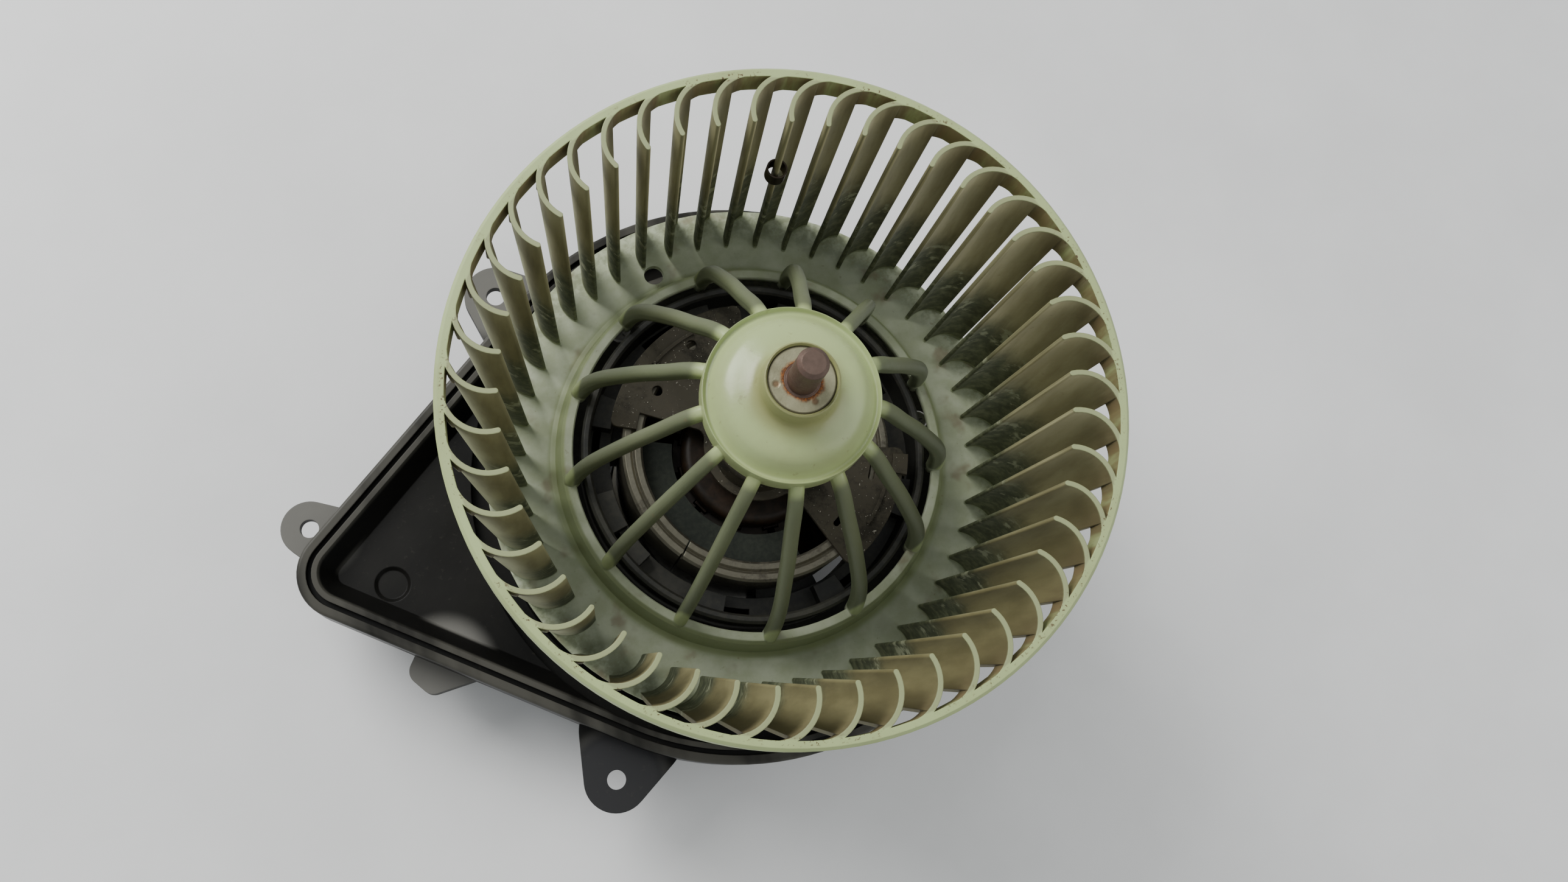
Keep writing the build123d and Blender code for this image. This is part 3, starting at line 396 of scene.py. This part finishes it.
def laminated(name):
    """Stacked core plates: fine lines across the axis."""
    f = Finish(name, metal=0.6)
    _, _, z = f.axes(f.place)
    lines = f.math("SINE", f.times(z, 2 * math.pi / CORE_PLATE_PITCH))
    cloud = f.noise(80, 4, 0.6)
    f.color(f.mix(f.band(cloud, 0.3, 0.7), (0.030, 0.026, 0.024), (0.065, 0.052, 0.042)))
    f.rough(f.spread(cloud, 0.42, 0.62))
    f.bump(lines, 0.00010, 0.7)
    return f.mat


MATERIALS = {   # by the record's material slots
    "fan_plastic": fan_plastic(),
    "black_plastic": black_plastic("black_plastic", (0.014, 0.014, 0.0135), 0.25, 0.42),
    "shaft_steel": worn_metal("shaft_steel", (0.150, 0.104, 0.082), (0.085, 0.042, 0.027), 0.62, 0.45, 0.8),
    "can_steel": worn_metal("can_steel", (0.235, 0.22, 0.168), (0.070, 0.062, 0.043), 0.50, 0.38, 0.9, 0.2),
    "stamped_steel": worn_metal("stamped_steel", (0.054, 0.046, 0.027), (0.020, 0.017, 0.009), 0.55, 0.62,
                                metal=0.12, speck=0.8),
    "core_steel": laminated("core_steel"),
    "copper_wire": plain_stuff("copper_wire", (0.13, 0.045, 0.018), (0.34, 0.13, 0.05), 0.32, 500, metal=0.7),
    "copper_bar": plain_stuff("copper_bar", (0.42, 0.20, 0.10), (0.66, 0.36, 0.20), 0.30, 900,
                              stretch=(1, 1, 6), metal=1.0),
    "brass": plain_stuff("brass", (0.48, 0.35, 0.14), (0.72, 0.56, 0.26), 0.33, 700,
                         stretch=(0.2, 1, 1), metal=1.0),
    "bronze": plain_stuff("bronze", (0.33, 0.22, 0.11), (0.50, 0.36, 0.20), 0.50, 1600, metal=0.9),
    "spring_steel": worn_metal("spring_steel", (0.34, 0.33, 0.31), (0.12, 0.09, 0.06), 0.30, 0.36),
    "screw_steel": worn_metal("screw_steel", (0.42, 0.41, 0.39), (0.16, 0.12, 0.08), 0.25, 0.38),
    "ferrite": plain_stuff("ferrite", (0.020, 0.024, 0.019), (0.036, 0.041, 0.031), 0.62, 800, spec=0.2),
    "carbon": plain_stuff("carbon", (0.025, 0.025, 0.026), (0.055, 0.055, 0.056), 0.55, 1500),
    "rubber": plain_stuff("rubber", (0.014, 0.014, 0.014), (0.028, 0.028, 0.027), 0.72, 900),
    "felt": plain_stuff("felt", (0.24, 0.19, 0.11), (0.42, 0.36, 0.24), 0.92, 1800, depth=0.0003,
                        bevel=0.0005),
    "phenolic": plain_stuff("phenolic", (0.12, 0.06, 0.03), (0.22, 0.115, 0.055), 0.45, 350,
                            stretch=(1, 0.2, 1)),
    "fibre": plain_stuff("fibre", (0.45, 0.39, 0.27), (0.62, 0.55, 0.40), 0.5, 900),
}
OWN_FINISH = {  # nodes that look different from the rest of their slot
    "armature_windings": plain_stuff("baked_wire", (0.011, 0.008, 0.005), (0.030, 0.017, 0.009), 0.45, 500,
                                     spec=0.3),
    "mounting_plate": plate_plastic(),
    "hub_bush": bush_zinc(),
    "motor_holder": black_plastic("holder_plastic", (0.022, 0.022, 0.018), 0.55, 0.46),
    "balance_clip": worn_metal("clip_steel", (0.10, 0.08, 0.065), (0.06, 0.035, 0.02), 0.45, 0.45),
}
for entry in frame["record"]["subparts"]:
    node = frame["nodes"][entry["node"]]
    node.data.materials.clear()
    node.data.materials.append(OWN_FINISH.get(entry["node"]) or MATERIALS[entry["material_slot"]])


# ---- coil springs and choke windings ----
def tube(vertices, faces, path, radius, sides=8):
    """Adds a round tube with closed ends that follows a path of points."""
    count = len(path)
    start = len(vertices)
    normal = None
    for index, point in enumerate(path):
        along = (path[min(index + 1, count - 1)] - path[max(index - 1, 0)]).normalized()
        if normal is None:
            normal = along.orthogonal().normalized()
        normal = (normal - along * normal.dot(along)).normalized()
        across = along.cross(normal)
        for side in range(sides):
            turn = 2 * math.pi * side / sides
            vertices.append(point + (normal * math.cos(turn) + across * math.sin(turn)) * radius)
    for index in range(count - 1):
        here, there = start + index * sides, start + (index + 1) * sides
        for side in range(sides):
            following = (side + 1) % sides
            faces.append((here + side, here + following, there + following, there + side))
    faces.append([start + side for side in reversed(range(sides))])
    faces.append([start + (count - 1) * sides + side for side in range(sides)])


def mesh_piece(name, vertices, faces, material, body, replaced):
    mesh = bpy.data.meshes.new(name)
    mesh.from_pydata([tuple(v) for v in vertices], [], [tuple(f) for f in faces])
    mesh.validate()
    mesh.shade_smooth()
    mesh.materials.append(material)
    piece = bpy.data.objects.new(name, mesh)
    bpy.context.scene.collection.objects.link(piece)
    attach(piece, body)
    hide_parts(*replaced)
    return piece


def helix(start, end, coil_radius, turns, steps=20, flat_ends=0.0):
    """Points of a coil from start to end; flat_ends is how many turns at each end lie flat."""
    axis = (end - start).normalized()
    side = axis.orthogonal().normalized()
    up = axis.cross(side)
    total = int(turns * steps)
    points = []
    for index in range(total + 1):
        share = index / total
        if flat_ends:
            share = min(1.0, max(0.0, (index / steps - flat_ends) / (turns - 2 * flat_ends)))
        turn = 2 * math.pi * index / steps
        around = side * math.cos(turn) + up * math.sin(turn)
        points.append(start + (end - start) * share + around * coil_radius)
    return points


SPRING_WIRE_R = 0.00032
SPRING_TURNS = 6.5
SPRING_FLAT_ENDS = 0.7
for letter, joint, sign in (("a", "brush_a_slide", 1), ("b", "brush_b_slide", -1)):
    low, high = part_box("brush_spring_" + letter)
    middle_y, middle_z = (low[1] + high[1]) / 2, (low[2] + high[2]) / 2
    coil_r = (high[1] - low[1]) / 2 - SPRING_WIRE_R
    moving, fixed = (low[0], high[0]) if sign > 0 else (high[0], low[0])
    first = Vector((moving + sign * SPRING_WIRE_R, middle_y, middle_z))
    last = Vector((fixed - sign * SPRING_WIRE_R, middle_y, middle_z))
    vertices, faces = [], []
    tube(vertices, faces, helix(first, last, coil_r, SPRING_TURNS, flat_ends=SPRING_FLAT_ENDS), SPRING_WIRE_R)
    spring = mesh_piece("coil_spring_" + letter, vertices, faces, MATERIALS["spring_steel"], "housing",
                        ["brush_spring_" + letter])
    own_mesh(spring)

CHOKE_WIRE_R = 0.00062
CHOKE_WIRE_OUT = 1.05       # the wire's centre stands this many wire radii off the core
CHOKE_TURNS = 12.0
low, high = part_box("choke_coils")
core_low, core_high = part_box("choke_cores")
core_r = (core_high[2] - core_low[2]) / 2
rod_z = (low[2] + high[2]) / 2
vertices, faces = [], []
for sign in (-1, 1):
    rod_y = sign * ((high[1] - low[1]) / 2 - (high[2] - low[2]) / 2)
    first = Vector((low[0] + CHOKE_WIRE_R, rod_y, rod_z))
    last = Vector((high[0] - CHOKE_WIRE_R, rod_y, rod_z))
    turns = helix(first, last, core_r + CHOKE_WIRE_R * CHOKE_WIRE_OUT, CHOKE_TURNS)
    tube(vertices, faces, turns, CHOKE_WIRE_R)
mesh_piece("choke_windings", vertices, faces, MATERIALS["copper_wire"], "housing",
           ["choke_coils"])

# ---- floor, light and camera ----
FLOOR_SIZE = 8.0
FLOOR_GAP = 0.0002
bpy.ops.mesh.primitive_plane_add(size=FLOOR_SIZE, location=(0, 0, -FLOOR_GAP))
floor = bpy.context.object
floor.name = "floor"
paint = Finish("floor_paint", 0.55, bevel=0)
paint.color(paint.mix(paint.band(paint.noise(9, 5, 0.6), 0.3, 0.7), (0.70, 0.70, 0.69), (0.77, 0.77, 0.76)))
paint.bump(paint.noise(500, 3, 0.6), 0.0001, 0.3)
floor.data.materials.append(paint.mat)

LIGHT_TARGET = Vector((0, 0, 0.06))
LIGHTS = (      # name, place, size and watts
    ("key", (-0.50, 0.74, 0.88), 0.7, 18),
    ("fill", (0.8, -0.4, 0.8), 0.9, 4),
)
WORLD_COLOR = (0.75, 0.78, 0.8, 1)
WORLD_STRENGTH = 0.68
for name, place, size, watts in LIGHTS:
    light = bpy.data.lights.new(name, "AREA")
    light.size = size
    light.energy = watts
    lamp = bpy.data.objects.new(name, light)
    bpy.context.scene.collection.objects.link(lamp)
    lamp.location = place
    lamp.rotation_euler = (LIGHT_TARGET - Vector(place)).to_track_quat("-Z", "Y").to_euler()
world = bpy.data.worlds.new("studio")
bpy.context.scene.world = world
world.use_nodes = True
world.node_tree.nodes["Background"].inputs["Color"].default_value = WORLD_COLOR
world.node_tree.nodes["Background"].inputs["Strength"].default_value = WORLD_STRENGTH

# The camera's pose and lens are the ones worked out from the wheel's circles in the photo.
CAMERA_PLACE = Vector((-0.07351, -0.06605, 0.4406))
CAMERA_RIGHT = Vector((0.9495, -0.2687, 0.1620))
CAMERA_UP = Vector((0.2300, 0.9473, 0.2229))
CAMERA_VIEW = Vector((0.2134, 0.1744, -0.9613))
CAMERA_LENS_MM = 32.5
CAMERA_SENSOR_MM = 36
CAMERA_CLIP_START = 0.01
camera = bpy.data.objects.new("camera", bpy.data.cameras.new("camera"))
bpy.context.scene.collection.objects.link(camera)
turned = Matrix((CAMERA_RIGHT, CAMERA_UP, -CAMERA_VIEW)).transposed().to_4x4()
camera.matrix_world = Matrix.Translation(CAMERA_PLACE) @ turned
camera.data.lens = CAMERA_LENS_MM
camera.data.sensor_width = CAMERA_SENSOR_MM
camera.data.clip_start = CAMERA_CLIP_START
bpy.context.scene.camera = camera
